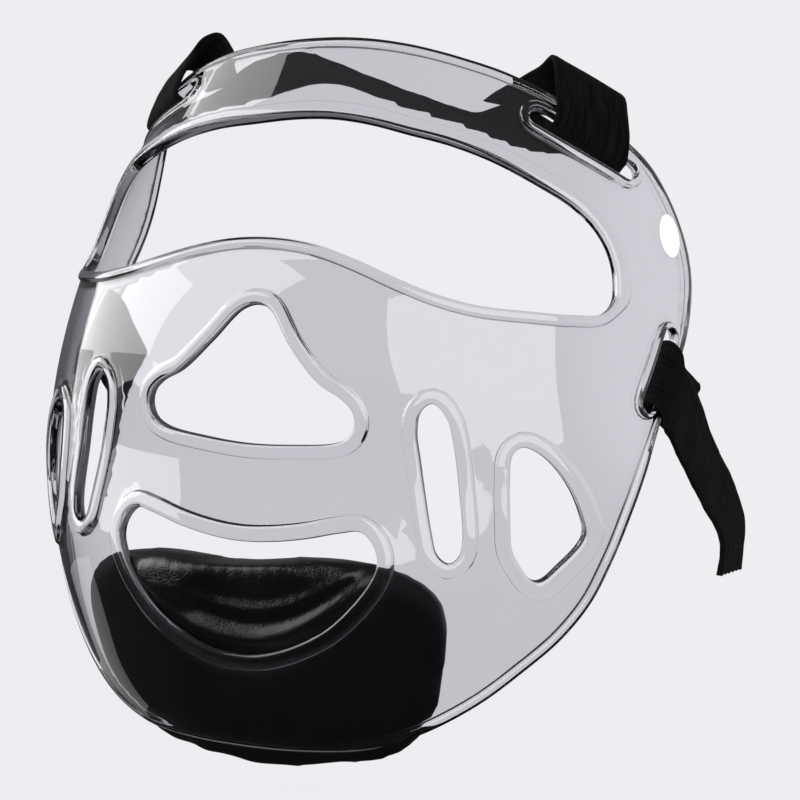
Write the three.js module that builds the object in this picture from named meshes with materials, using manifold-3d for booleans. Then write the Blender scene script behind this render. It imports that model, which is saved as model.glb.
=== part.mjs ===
// Clear face shield for taekwondo headgear: a moulded shell with openings for the eyes, nose, mouth
// and cheeks, a leather chin pad inside it, one strap through its two upper slots and a strap
// through each lower slot.
// Millimetres. +Z is up, the face looks along -Y, +X is the side the label is on.
// The origin is where the inside of the forehead band meets the middle of the forehead.

import * as THREE from 'three';
import Module from 'manifold-3d';
import { mergeVertices } from 'three/addons/utils/BufferGeometryUtils.js';

const wasm = await Module();
wasm.setup();

// Shell: driving sizes
const SHELL_HEIGHT = 200;     // chin to the middle of the top edge
const SHELL_WIDTH = 205;      // across the cheeks
const SHELL_DEPTH = 83;       // from the temple line forward to the nose
const SHELL_ROUNDNESS = 2.43; // exponent of the plan section: 2 is an ellipse, more is squarer
const WALL = 2.2;
const BROW_LEVEL = 186;       // height of the origin above the chin
const PAD_GAP = 0.8;          // between the shell and the chin pad
const STRAP_GAP = 0.75;       // between the shell and a strap laid on it

// Rolled rims: width along the shell and how far each stands out in front of its middle surface
const EDGE_RIM = { width: 3.4, proud: 1.7 };
const EYE_RIM = { width: 5.2, proud: 2.1 };
const NOSE_RIM = { width: 4.2, proud: 2.0 };
const MOUTH_RIM = { width: 4.6, proud: 2.1 };
const CHEEK_RIM = { width: 4.4, proud: 2.1 };
const SLOT_RIM = { width: 3.4, proud: 1.8 };
const RIM_BACK = 0.7;         // rims stand this much behind the wall
const CUT_SHARE = 0.42;       // the wall ends this far into a rim, as a share of its width

// Strap slots: clear width and length of each hole
const SLOT_WIDTH = 5.6;
const UPPER_SLOT_LENGTH = 34;
const LOWER_SLOT_LENGTH = 27;

// Straps
const STRAP_THICKNESS = 1.8;
const UPPER_STRAP_WIDTH = 23.6;
const LOWER_STRAP_WIDTH = 20.5;
const LONG_TAIL = 75;         // hanging tail of the +X strap
const SHORT_TAIL = 52;        // hanging tail of the -X strap

// Chin pad
const PAD_THICKNESS = 14;
const PAD_TOP_LEVEL = 55;
const PAD_HALF_ANGLE = 42.5;
const PAD_MIDDLE = -2.5;      // degrees: it is set a little to one side
const PAD_DROOP = 4.5;        // how far its bottom sags below the shell's lower edge

// Label: an upright oval sticker
const LABEL_HEIGHT = 12.4;
const LABEL_WIDTH = 9;
const LABEL_THICKNESS = 0.5;
const LABEL_GAP = 0.25;       // between the shell's wall and the sticker

// Cross sections of the shell from under the chin to above the top edge. Level and
// height are shares of SHELL_HEIGHT, halfWidth of half SHELL_WIDTH, front and centre of SHELL_DEPTH.
const SHELL_ROWS = [
  // level, height, halfWidth, front, centre
  [-0.075, -0.015, 0.43, 0.730, 0.048],
  [-0.030, -0.010, 0.53, 0.825, 0.049],
  [0.000, 0.003, 0.615, 0.893, 0.050],
  [0.025, 0.0245, 0.680, 0.930, 0.052],
  [0.060, 0.060, 0.750, 0.955, 0.055],
  [0.125, 0.125, 0.839, 0.971, 0.058],
  [0.250, 0.250, 0.941, 1.004, 0.066],
  [0.400, 0.400, 1.000, 0.980, 0.071],
  [0.550, 0.550, 0.952, 0.999, 0.083],
  [0.700, 0.700, 0.888, 0.875, 0.110],
  [0.850, 0.850, 0.793, 0.618, 0.125],
  [1.000, 1.000, 0.655, 0.360, 0.129],
  [1.120, 1.120, 0.545, 0.150, 0.137],
];

// Outlines on the shell: degrees round from the middle of the face, and level as a share of
// SHELL_HEIGHT. Those of the middle openings hold the +X half, from the top down.
const EDGE_HALF = [
  // degrees, level
  [0, 0.996], [14, 0.994], [27, 0.988], [39, 0.977], [49, 0.962], [56.5, 0.942], [62.5, 0.920],
  [68.5, 0.895], [74, 0.869], [77.8, 0.842], [80.6, 0.810], [83, 0.770], [84.6, 0.725],
  [84.8, 0.685], [83.6, 0.644], [81.5, 0.606], [77.2, 0.550], [72.6, 0.486], [69.9, 0.427],
  [67.5, 0.368], [65.3, 0.305], [62.6, 0.240], [58.6, 0.189], [53.2, 0.144], [46.8, 0.098],
  [39.6, 0.061], [33.0, 0.037], [25, 0.018], [13, 0.008], [0, 0.005],
];
const EYE_HALF = [
  [0, 0.885], [12.5, 0.881], [24, 0.871], [35, 0.859], [44, 0.840], [52, 0.812], [58.4, 0.783],
  [62.4, 0.752], [64.5, 0.718], [65, 0.684], [64.2, 0.655], [61.6, 0.639], [56.5, 0.637],
  [48.5, 0.640], [40, 0.645], [33, 0.657], [27, 0.672], [18.5, 0.694], [9.5, 0.710], [0, 0.715],
];
const NOSE_HALF = [
  [0, 0.626], [3.2, 0.618], [8.3, 0.571], [14, 0.527], [18.6, 0.507], [20.7, 0.491],
  [21.2, 0.471], [20.2, 0.455], [17.6, 0.445], [9.5, 0.437], [0, 0.433],
];
const MOUTH_HALF = [
  [0, 0.296], [6, 0.299], [13, 0.308], [19.6, 0.321], [23.4, 0.325], [25.6, 0.310],
  [26.6, 0.286], [25.6, 0.260], [22.8, 0.226], [18, 0.187], [11.5, 0.158], [5, 0.142], [0, 0.139],
];
const CHEEK_OVAL = [
  [34.0, 0.510], [36.4, 0.491], [37.8, 0.455], [39.2, 0.390], [40.1, 0.325], [39.7, 0.302],
  [38.2, 0.291], [36.2, 0.303], [35.2, 0.330], [33.9, 0.380], [32.7, 0.430], [31.8, 0.470],
  [32.2, 0.498],
];
const CHEEK_WINDOW = [
  [48.3, 0.456], [50.6, 0.451], [53.6, 0.431], [56.3, 0.402], [58.2, 0.370], [59.3, 0.340],
  [58.6, 0.324], [55.6, 0.294], [53.0, 0.273], [51.4, 0.274], [49.2, 0.295], [47.9, 0.315],
  [47.3, 0.360], [46.9, 0.410], [47.0, 0.444],
];
// Middle of each slot and the direction it runs in, as degrees and level per step
const UPPER_SLOT = { middle: [63.4, 0.868], heading: [17.5, -0.070] };
const LOWER_SLOT = { middle: [73.9, 0.561], heading: [6.6, 0.095] };
const LABEL_MIDDLE = [79.6, 0.745];

// Natural cubic spline through (xs, ys), returned as a function
function spline(xs, ys) {
  const last = xs.length - 1;
  const curve = new Array(xs.length).fill(0);
  const carry = new Array(xs.length).fill(0);
  for (let i = 1; i < last; i++) {
    const before = xs[i] - xs[i - 1];
    const after = xs[i + 1] - xs[i];
    const slopeChange = (ys[i + 1] - ys[i]) / after - (ys[i] - ys[i - 1]) / before;
    const pivot = 2 * (before + after) - before * carry[i - 1];
    carry[i] = after / pivot;
    curve[i] = (6 * slopeChange - before * curve[i - 1]) / pivot;
  }
  for (let i = last - 1; i > 0; i--) curve[i] -= carry[i] * curve[i + 1];
  return (x) => {
    let i = 0;
    while (i < last - 1 && x > xs[i + 1]) i++;
    const step = xs[i + 1] - xs[i];
    const b = (x - xs[i]) / step;
    const a = 1 - b;
    const bend = ((a ** 3 - a) * curve[i] + (b ** 3 - b) * curve[i + 1]) * step * step / 6;
    return a * ys[i] + b * ys[i + 1] + bend;
  };
}

const column = (index) => SHELL_ROWS.map((row) => row[index]);
const heightAt = spline(column(0), column(1));
const halfWidthAt = spline(column(0), column(2));
const frontAt = spline(column(0), column(3));
const centreAt = spline(column(0), column(4));

// A point of the shell's middle surface: a superellipse in plan at each level, with straight
// sides behind its widest line
function middlePoint(degrees, level) {
  const angle = THREE.MathUtils.degToRad(Math.abs(degrees));
  const sine = Math.sin(angle);
  const cosine = Math.cos(angle);
  const half = halfWidthAt(level) * SHELL_WIDTH / 2;
  const centre = centreAt(level) * SHELL_DEPTH;
  const reach = centre + frontAt(level) * SHELL_DEPTH;
  const sum = (sine / half) ** SHELL_ROUNDNESS + (Math.abs(cosine) / reach) ** SHELL_ROUNDNESS;
  const radius = cosine > 0 ? sum ** (-1 / SHELL_ROUNDNESS) : half / sine;
  return new THREE.Vector3(
    Math.sign(degrees) * radius * sine, centre - radius * cosine, heightAt(level) * SHELL_HEIGHT);
}

// Millimetres moved per degree and per level, and the outward normal
function shellFrame(degrees, level) {
  const stepDegrees = 0.5;
  const stepLevel = 0.002;
  const across = middlePoint(degrees + stepDegrees, level)
    .sub(middlePoint(degrees - stepDegrees, level)).divideScalar(2 * stepDegrees);
  const along = middlePoint(degrees, level + stepLevel)
    .sub(middlePoint(degrees, level - stepLevel)).divideScalar(2 * stepLevel);
  return { across, along, normal: across.clone().cross(along).normalize() };
}

function shellPoint(degrees, level, out) {
  return middlePoint(degrees, level).addScaledVector(shellFrame(degrees, level).normal, out);
}

// Closed smooth loop of samples through a table of [degrees, level], run anticlockwise as seen
// from in front
function smoothLoop(table, samples) {
  const perLevel = 120; // weighs levels against degrees, so that samples are evenly spread
  const knots = table.map(([degrees, level]) => new THREE.Vector3(degrees, level * perLevel, 0));
  const curve = new THREE.CatmullRomCurve3(knots, true, 'centripetal');
  const loop = curve.getSpacedPoints(samples).slice(0, samples).map((p) => [p.x, p.y / perLevel]);
  return anticlockwise(loop);
}

function anticlockwise(loop) {
  let area = 0;
  loop.forEach(([x, y], i) => {
    const [nextX, nextY] = loop[(i + 1) % loop.length];
    area += x * nextY - nextX * y;
  });
  return area > 0 ? loop : loop.slice().reverse();
}

const mirrorHalf = (half) => {
  const other = half.slice(1, -1).reverse().map(([degrees, level]) => [-degrees, level]);
  return half.concat(other);
};
const mirrored = (loop) => anticlockwise(loop.map(([degrees, level]) => [-degrees, level]));

// The loop moved outwards along the shell by some millimetres
function grown(loop, distance) {
  return loop.map(([degrees, level], i) => {
    const before = loop[(i + loop.length - 1) % loop.length];
    const after = loop[(i + 1) % loop.length];
    const { across, along } = shellFrame(degrees, level);
    const perDegree = across.length();
    const perLevel = along.length();
    const run = (after[0] - before[0]) * perDegree;
    const rise = (after[1] - before[1]) * perLevel;
    const length = Math.hypot(run, rise);
    return [degrees + distance * rise / length / perDegree,
      level - distance * run / length / perLevel];
  });
}

// Direction of a slot and the frame that its strap follows: width runs along the slot, out away
// from the face, over across the bar that the strap is laid round
function slotFrame({ middle, heading }) {
  const [degrees, level] = middle;
  const reach = 0.4; // the chord's ends, as shares of the heading either way
  const ends = [-reach, reach].map((share) => (
    middlePoint(degrees + share * heading[0], level + share * heading[1])));
  const width = ends[1].clone().sub(ends[0]).normalize();
  const out = shellFrame(degrees, level).normal;
  out.addScaledVector(width, -out.dot(width)).normalize();
  const over = out.clone().cross(width);
  const chordMiddle = ends[0].clone().lerp(ends[1], 0.5);
  const bulge = middlePoint(degrees, level).sub(chordMiddle);
  return { origin: chordMiddle.addScaledVector(bulge, 0.5), width, out, over };
}

// Loop of a slot: two straight sides and two round ends
function slotLoop({ middle, heading }, length, samplesPerEnd) {
  const [degrees, level] = middle;
  const { across, along } = shellFrame(degrees, level);
  const perDegree = across.length();
  const perLevel = along.length();
  const run = heading[0] * perDegree;
  const rise = heading[1] * perLevel;
  const size = Math.hypot(run, rise);
  const straight = (length - SLOT_WIDTH) / 2;
  const loop = [];
  for (const end of [1, -1]) {
    for (let i = 0; i <= samplesPerEnd; i++) {
      const turn = Math.PI * (i / samplesPerEnd - 0.5);
      const ahead = end * (straight + Math.cos(turn) * SLOT_WIDTH / 2);
      const aside = end * Math.sin(turn) * SLOT_WIDTH / 2;
      loop.push([degrees + (ahead * run - aside * rise) / size / perDegree,
        level + (ahead * rise + aside * run) / size / perLevel]);
    }
  }
  return anticlockwise(loop);
}

// Mesh from rings of points: joins each ring to the next, and the last to the first if closed
function skin(rings, closed) {
  const count = rings[0].length;
  const positions = rings.flat().flatMap((p) => [p.x, p.y, p.z]);
  const indices = [];
  const bands = closed ? rings.length : rings.length - 1;
  for (let r = 0; r < bands; r++) {
    for (let i = 0; i < count; i++) {
      const a = r * count + i;
      const b = r * count + (i + 1) % count;
      const c = ((r + 1) % rings.length) * count + i;
      const d = ((r + 1) % rings.length) * count + (i + 1) % count;
      indices.push(a, b, d, a, d, c);
    }
  }
  return { positions, indices, count, rings: rings.length };
}

function toGeometry({ positions, indices }) {
  const geometry = new THREE.BufferGeometry();
  geometry.setAttribute('position', new THREE.Float32BufferAttribute(positions, 3));
  geometry.setIndex(indices);
  return geometry;
}

function signedVolume(geometry) {
  const position = geometry.getAttribute('position');
  const index = geometry.getIndex();
  const corner = [new THREE.Vector3(), new THREE.Vector3(), new THREE.Vector3()];
  let sum = 0;
  for (let t = 0; t < index.count; t += 3) {
    corner.forEach((p, i) => p.fromBufferAttribute(position, index.getX(t + i)));
    sum += corner[0].dot(corner[1].clone().cross(corner[2]));
  }
  return sum / 6;
}

// Closed solid with its faces pointing out
function closedGeometry(mesh) {
  const geometry = mergeVertices(toGeometry(mesh), 1e-4);
  if (signedVolume(geometry) < 0) {
    const index = geometry.getIndex();
    for (let t = 0; t < index.count; t += 3) {
      const second = index.getX(t + 1);
      index.setX(t + 1, index.getX(t + 2));
      index.setX(t + 2, second);
    }
  }
  return geometry;
}

// Dome or sheet solid: rings run from the middle of the outer face, over the rim, to the middle
// of the inner face; the first and last ring shrink to a point each
function pillow(rings, outerMiddle, innerMiddle) {
  const mesh = skin(rings, false);
  const first = mesh.positions.length / 3;
  mesh.positions.push(...outerMiddle.toArray(), ...innerMiddle.toArray());
  const lastRing = (mesh.rings - 1) * mesh.count;
  for (let i = 0; i < mesh.count; i++) {
    const next = (i + 1) % mesh.count;
    mesh.indices.push(first, next, i, first + 1, lastRing + i, lastRing + next);
  }
  return closedGeometry(mesh);
}

// Solid between two offsets of the shell's middle surface inside a loop, with rings at the given
// shares of the way from the focus to the loop
function shellSolid(loop, focus, shares, outerOffset, innerOffset) {
  const ringAt = (share, out) => loop.map(([degrees, level]) => shellPoint(
    focus[0] + (degrees - focus[0]) * share, focus[1] + (level - focus[1]) * share, out));
  const outer = shares.map((share) => ringAt(share, outerOffset));
  const inner = shares.map((share) => ringAt(share, innerOffset)).reverse();
  const rings = [...outer, ...inner];
  return pillow(rings, shellPoint(...focus, outerOffset), shellPoint(...focus, innerOffset));
}

// Rolled rim: a five-sided section carried round a loop
function rimSolid(loop, rim) {
  const path = grown(loop, rim.width / 2);
  const half = rim.width / 2;
  const crest = 0.45 * half;
  const behind = -(WALL / 2 + RIM_BACK);
  const section = [
    [-half, 0], [-crest, rim.proud], [crest, rim.proud], [half, 0], [0, behind],
  ];
  const rings = path.map(([degrees, level], i) => {
    const before = path[(i + path.length - 1) % path.length];
    const after = path[(i + 1) % path.length];
    const tangent = middlePoint(...after).sub(middlePoint(...before)).normalize();
    const { normal } = shellFrame(degrees, level);
    const side = tangent.clone().cross(normal).normalize();
    const middle = middlePoint(degrees, level);
    return section.map(([aside, out]) => middle.clone()
      .addScaledVector(side, aside).addScaledVector(normal, out));
  });
  return closedGeometry(skin(rings, true));
}

function toManifold(geometry) {
  const positionOnly = geometry.clone();
  positionOnly.deleteAttribute('normal');
  positionOnly.deleteAttribute('uv');
  const merged = mergeVertices(positionOnly, 1e-4);
  return new wasm.Manifold(new wasm.Mesh({
    numProp: 3,
    vertProperties: new Float32Array(merged.getAttribute('position').array),
    triVerts: new Uint32Array(merged.getIndex().array),
  }));
}

function toBuffer(manifold) {
  const { vertProperties, triVerts } = manifold.getMesh();
  return toGeometry({ positions: Array.from(vertProperties), indices: Array.from(triVerts) });
}

const middleOf = (loop) => loop.reduce(
  ([x, y], [degrees, level]) => [x + degrees / loop.length, y + level / loop.length], [0, 0]);

// The shell: a wall with its openings cut and a rim rolled round each and round the outer edge
function makeShell() {
  const cutReach = 4 * WALL; // how far a cutter stands out on both faces
  const edgeLoop = smoothLoop(mirrorHalf(EDGE_HALF), 74);
  const oval = smoothLoop(CHEEK_OVAL, 18);
  const window = smoothLoop(CHEEK_WINDOW, 18);
  const upperSlot = slotLoop(UPPER_SLOT, UPPER_SLOT_LENGTH, 5);
  const lowerSlot = slotLoop(LOWER_SLOT, LOWER_SLOT_LENGTH, 5);
  const openings = [
    { loop: smoothLoop(mirrorHalf(EYE_HALF), 44), rim: EYE_RIM, shares: [0.2, 0.4, 0.6, 0.8, 1] },
    { loop: smoothLoop(mirrorHalf(NOSE_HALF), 26), rim: NOSE_RIM, shares: [0.5, 1] },
    { loop: smoothLoop(mirrorHalf(MOUTH_HALF), 30), rim: MOUTH_RIM, shares: [0.5, 1] },
  ];
  for (const loop of [oval, window]) {
    for (const side of [loop, mirrored(loop)]) openings.push({ loop: side, rim: CHEEK_RIM, shares: [1] });
  }
  for (const loop of [upperSlot, lowerSlot]) {
    for (const side of [loop, mirrored(loop)]) openings.push({ loop: side, rim: SLOT_RIM, shares: [1] });
  }
  const wallMiddle = [0, 0.48];
  const wallShares = [0.2, 0.4, 0.58, 0.74, 0.86, 0.93, 1]; // closer where the chin turns under
  let shell = toManifold(shellSolid(edgeLoop, wallMiddle, wallShares, WALL / 2, -WALL / 2));
  shell = shell.add(toManifold(rimSolid(grown(edgeLoop, -EDGE_RIM.width * (1 - CUT_SHARE)), EDGE_RIM)));
  for (const { loop, rim, shares } of openings) {
    const cut = grown(loop, rim.width * CUT_SHARE);
    const cutter = shellSolid(cut, middleOf(cut), shares, cutReach, -cutReach);
    shell = shell.subtract(toManifold(cutter));
  }
  for (const { loop, rim } of openings) shell = shell.add(toManifold(rimSolid(loop, rim)));
  return toBuffer(shell);
}

// Chin pad: a cushion that follows the inside of the shell's chin. Its outline is a rounded
// oblong on the shell, with a shallow dip in the middle of the top edge.
const PAD_ROUNDNESS = 3.6;    // exponent of the outline
const PAD_BOTTOM_LEVEL = -0.030;
const PAD_DIP = 0.012;         // level lost in the middle of its top
const PAD_DIP_SPREAD = 12;    // degrees that the dip reaches to each side
const PAD_TILT = 0.0004;      // level gained per degree towards +X
const PAD_LIFT = 0.2;         // its back rises by this share of its thickness
const PAD_WAIST = 0.27;       // depth of its widest ring, as a share of its thickness
function makeChinPad() {
  const around = 40;
  const top = PAD_TOP_LEVEL / SHELL_HEIGHT;
  const middle = (top + PAD_BOTTOM_LEVEL) / 2;
  const halfHeight = (top - PAD_BOTTOM_LEVEL) / 2;
  const front = -(WALL / 2 + RIM_BACK + PAD_GAP);
  const pointAt = (turn, share, depth, sag = 0) => {
    const reach = (Math.abs(Math.cos(turn)) ** PAD_ROUNDNESS
      + Math.abs(Math.sin(turn)) ** PAD_ROUNDNESS) ** (-1 / PAD_ROUNDNESS);
    const aside = PAD_HALF_ANGLE * reach * Math.cos(turn) * share;
    const degrees = PAD_MIDDLE + aside;
    const dip = Math.sin(turn) > 0 ? PAD_DIP * Math.exp(-((aside / PAD_DIP_SPREAD) ** 2)) * share ** 4 : 0;
    const level = middle + halfHeight * reach * Math.sin(turn) * share - dip + PAD_TILT * aside;
    const inward = THREE.MathUtils.degToRad(degrees);
    const lower = sag * PAD_DROOP * Math.max(0, -Math.sin(turn)) ** 2;
    return shellPoint(degrees, level, front)
      .add(new THREE.Vector3(-Math.sin(inward), Math.cos(inward), PAD_LIFT).multiplyScalar(depth))
      .sub(new THREE.Vector3(0, 0, lower));
  };
  const ring = (share, depth, sag) => Array.from({ length: around },
    (_, i) => pointAt(2 * Math.PI * i / around, share, depth, sag));
  // share of the way out, depth of the front and back faces there as shares of the thickness, and
  // how much of the droop is reached
  const rise = [
    [0.35, 0, 0.98, 0], [0.65, 0, 0.9, 0], [0.86, 0.02, 0.72, 0.3], [0.97, 0.1, 0.46, 0.85],
  ];
  const rings = rise.map(([share, near, , sag]) => ring(share, near * PAD_THICKNESS, sag));
  rings.push(ring(1, PAD_WAIST * PAD_THICKNESS, 1));
  rise.slice().reverse()
    .forEach(([share, , far, sag]) => rings.push(ring(share, far * PAD_THICKNESS, sag)));
  return pillow(rings, pointAt(0, 0, 0), pointAt(0, 0, PAD_THICKNESS));
}

// Strap: a flat band along a path. Each stop of the path is a place and a width direction, and
// a stretch between stops has two sections or more, so that the tight turns are round.
const STRAP_STEP = 7;
function bandSolid(stops, width) {
  const places = new THREE.CatmullRomCurve3(stops.map(({ place }) => place), false, 'centripetal');
  const widths = new THREE.CatmullRomCurve3(stops.map((stop) => stop.width), false, 'centripetal');
  const stretches = stops.length - 1;
  const shares = [0];
  for (let i = 0; i < stretches; i++) {
    const parts = Math.max(2, Math.ceil(stops[i].place.distanceTo(stops[i + 1].place) / STRAP_STEP));
    for (let j = 1; j <= parts; j++) shares.push((i + j / parts) / stretches);
  }
  const rings = [];
  for (const t of shares) {
    const place = places.getPoint(t);
    const tangent = places.getTangent(t);
    const side = widths.getPoint(t).normalize();
    const face = tangent.clone().cross(side).normalize();
    rings.push([[1, 1], [-1, 1], [-1, -1], [1, -1]].map(([s, f]) => place.clone()
      .addScaledVector(side, s * width / 2).addScaledVector(face, f * STRAP_THICKNESS / 2)));
  }
  const mesh = skin(rings, false);
  const end = (rings.length - 1) * 4;
  mesh.indices.push(0, 2, 1, 0, 3, 2, end, end + 1, end + 2, end, end + 2, end + 3);
  return closedGeometry(mesh);
}

// How far the strap's middle lies from the shell's middle surface in front of and behind a bar
const LAY_FRONT = SLOT_RIM.proud + STRAP_GAP + STRAP_THICKNESS / 2;
const LAY_BACK = WALL / 2 + RIM_BACK + STRAP_GAP + STRAP_THICKNESS / 2;

const inSlot = (frame, over, out, along = 0) => frame.origin.clone()
  .addScaledVector(frame.over, over).addScaledVector(frame.out, out).addScaledVector(frame.width, along);
// A stop by a slot's bar: over and along are shares of the strap's width, and lay is a share of
// how far it lies from the shell's middle surface, in front of it or, below 0, behind it
const atBar = (frame, width) => ([over, lay, along]) => ({
  place: inSlot(frame, over * width, lay * (lay > 0 ? LAY_FRONT : LAY_BACK), along * width),
  width: frame.width,
});
const mirrorStop = ({ place, width }) => ({
  place: place.clone().setX(-place.x), width: width.clone().setX(-width.x) });

// Lower strap: its inner end lies behind the bar at the shell's rear edge, it comes out through
// the slot, is laid over the bar and hangs behind it. Rows of tail: outward, rearward and
// upward from the slot's middle, as shares of the tail's length, and the width direction there.
const LOWER_FOLD = [
  // over, lay, along
  [0.215, -1, 0], [0.029, -0.55, 0], [0, 0.058, 0], [0.039, 0.62, -0.029], [0.176, 1, -0.117],
  [0.283, 1.087, -0.293],
];
function lowerStrap(frame, innerLength, tail, tailLength) {
  const innerEnd = (share, away) => ({
    place: inSlot(frame, share * innerLength, -LAY_BACK - away * innerLength), width: frame.width });
  const stops = [
    innerEnd(1, 0.08), innerEnd(0.5, 0.02), ...LOWER_FOLD.map(atBar(frame, LOWER_STRAP_WIDTH)),
  ];
  tail.forEach(([outward, rearward, upward, ...width]) => stops.push({
    place: frame.origin.clone().add(new THREE.Vector3(outward, rearward, upward).multiplyScalar(tailLength)),
    width: new THREE.Vector3(...width),
  }));
  return stops;
}

const RIGHT_TAIL = [
  // outward, rearward, upward, width direction x, y, z
  [0.083, 0.045, -0.140, -0.08, 0.75, 0.66],
  [0.083, 0.131, -0.227, -0.10, 0.84, 0.53],
  [0.084, 0.222, -0.324, -0.12, 0.88, 0.45],
  [0.083, 0.365, -0.452, -0.13, 0.90, 0.42],
  [0.088, 0.457, -0.544, -0.15, 0.94, 0.30],
  [0.090, 0.514, -0.635, -0.16, 0.96, 0.20],
  [0.083, 0.513, -0.781, -0.17, 0.98, 0.02],
];
const LEFT_TAIL = [
  [0.115, 0.110, -0.230, -0.06, 0.80, 0.60],
  [0.125, 0.190, -0.400, 0.02, 0.92, 0.38],
  [0.130, 0.170, -0.600, 0.04, 0.98, 0.15],
  [0.125, 0.110, -0.800, 0.04, 0.99, -0.08],
  [0.115, 0.060, -1.000, 0.00, 0.99, -0.12],
];
const RIGHT_INNER_END = 22;
const LEFT_INNER_END = 48;

// Upper strap: it crosses behind the forehead band from slot to slot in an uneven arch, comes
// out through each slot, goes up over the bar and the top edge, and its end lies inside.
const ARCH_TILT = 20; // degrees that its rear edge hangs below level
const ARCH = [
  // along X as a share of the slots' distance, rise above and place behind the slots' middles
  // as shares of the strap's width
  [-0.78, 0.22, 0.40], [-0.56, 0.56, 0.42], [-0.37, 0.68, 0.36], [-0.20, 0.60, 0.33],
  [0.00, 0.44, 0.32], [0.27, 0.24, 0.32], [0.56, 0.06, 0.30],
];
const UPPER_FOLD = [
  // over, lay, along
  [0.339, -3.3, -0.339], [0.127, -1.8, 0], [0.013, -1, 0.042], [0.008, 0, 0.042],
  [0.034, 0.62, 0.042], [0.203, 1, -0.021], [0.415, 1.145, -0.127], [0.750, 0.9, -0.297],
  [0.860, 0.087, -0.339], [0.741, -1.174, -0.390],
];
// The end inside: degrees and level from the slot's middle, and depth as a share of LAY_BACK
const FREE_END = [[-6.1, 0.074, 1.638], [-10.2, 0.060, 1.812]];
function upperStrapHalf(frame, side) {
  const stops = UPPER_FOLD.map(atBar(frame, UPPER_STRAP_WIDTH));
  const [slotDegrees, slotLevel] = UPPER_SLOT.middle;
  for (const [degrees, level, depth] of FREE_END) {
    const width = shellFrame(slotDegrees + degrees, slotLevel + level).across.normalize();
    stops.push({
      place: shellPoint(slotDegrees + degrees, slotLevel + level, -LAY_BACK * depth),
      width: width.lerp(frame.width, 0.3).normalize(),
    });
  }
  return side > 0 ? stops : stops.map(mirrorStop);
}

function makeUpperStrap() {
  const frame = slotFrame(UPPER_SLOT);
  const right = upperStrapHalf(frame, 1);
  const left = upperStrapHalf(frame, -1).reverse();
  const tilt = THREE.MathUtils.degToRad(ARCH_TILT);
  const middleWidth = new THREE.Vector3(0, Math.cos(tilt), -Math.sin(tilt));
  const arch = ARCH.map(([along, rise, behind]) => ({
    place: new THREE.Vector3(along * frame.origin.x,
      frame.origin.y + behind * UPPER_STRAP_WIDTH, frame.origin.z + rise * UPPER_STRAP_WIDTH),
    width: middleWidth.clone().lerp(new THREE.Vector3(Math.sign(along) * frame.width.x,
      frame.width.y, frame.width.z), Math.abs(along) ** 2).normalize(),
  }));
  return bandSolid([...left, ...arch, ...right], UPPER_STRAP_WIDTH);
}

function makeLowerStrap(side) {
  const frame = slotFrame(LOWER_SLOT);
  frame.over.negate();
  const stops = side > 0
    ? lowerStrap(frame, RIGHT_INNER_END, RIGHT_TAIL, LONG_TAIL)
    : lowerStrap(frame, LEFT_INNER_END, LEFT_TAIL, SHORT_TAIL).map(mirrorStop);
  return bandSolid(stops, LOWER_STRAP_WIDTH);
}

// Label: a thin oval that follows the outside of the shell by the rear edge
function makeLabel() {
  const { across, along } = shellFrame(...LABEL_MIDDLE);
  const around = 24;
  const loop = Array.from({ length: around }, (_, i) => {
    const turn = 2 * Math.PI * i / around;
    return [LABEL_MIDDLE[0] + Math.cos(turn) * LABEL_WIDTH / 2 / across.length(),
      LABEL_MIDDLE[1] + Math.sin(turn) * LABEL_HEIGHT / 2 / along.length()];
  });
  const seat = WALL / 2 + LABEL_GAP;
  return shellSolid(loop, LABEL_MIDDLE, [1], seat + LABEL_THICKNESS, seat);
}

const clearPlastic = { color: 0xe4e8ec, roughness: 0.08, metalness: 0, transparent: true, opacity: 0.35 };
const blackLoopFabric = { color: 0x111113, roughness: 0.95, metalness: 0 };
const blackLeather = { color: 0x0c0c0e, roughness: 0.42, metalness: 0 };
const whiteLabel = { color: 0xf2f2f2, roughness: 0.5, metalness: 0 };

const shield = new THREE.Group();
const addPiece = (name, geometry, look) => {
  const mesh = new THREE.Mesh(geometry, new THREE.MeshStandardMaterial(look));
  mesh.name = name;
  shield.add(mesh);
};
addPiece('shell', makeShell(), clearPlastic);
addPiece('chin_pad', makeChinPad(), blackLeather);
addPiece('strap_upper', makeUpperStrap(), blackLoopFabric);
addPiece('strap_lower_right', makeLowerStrap(1), blackLoopFabric);
addPiece('strap_lower_left', makeLowerStrap(-1), blackLoopFabric);
addPiece('label', makeLabel(), whiteLabel);

// Put the origin on the inside of the forehead band
const brow = shellPoint(0, BROW_LEVEL / SHELL_HEIGHT, -WALL / 2);
shield.position.copy(brow).negate();
const part = new THREE.Group();
part.add(shield);
export default part;
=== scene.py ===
import math
import bmesh
import bpy
import numpy as np
from mathutils import Matrix, Vector
from mathutils.geometry import delaunay_2d_cdt
from mathutils.kdtree import KDTree


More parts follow.
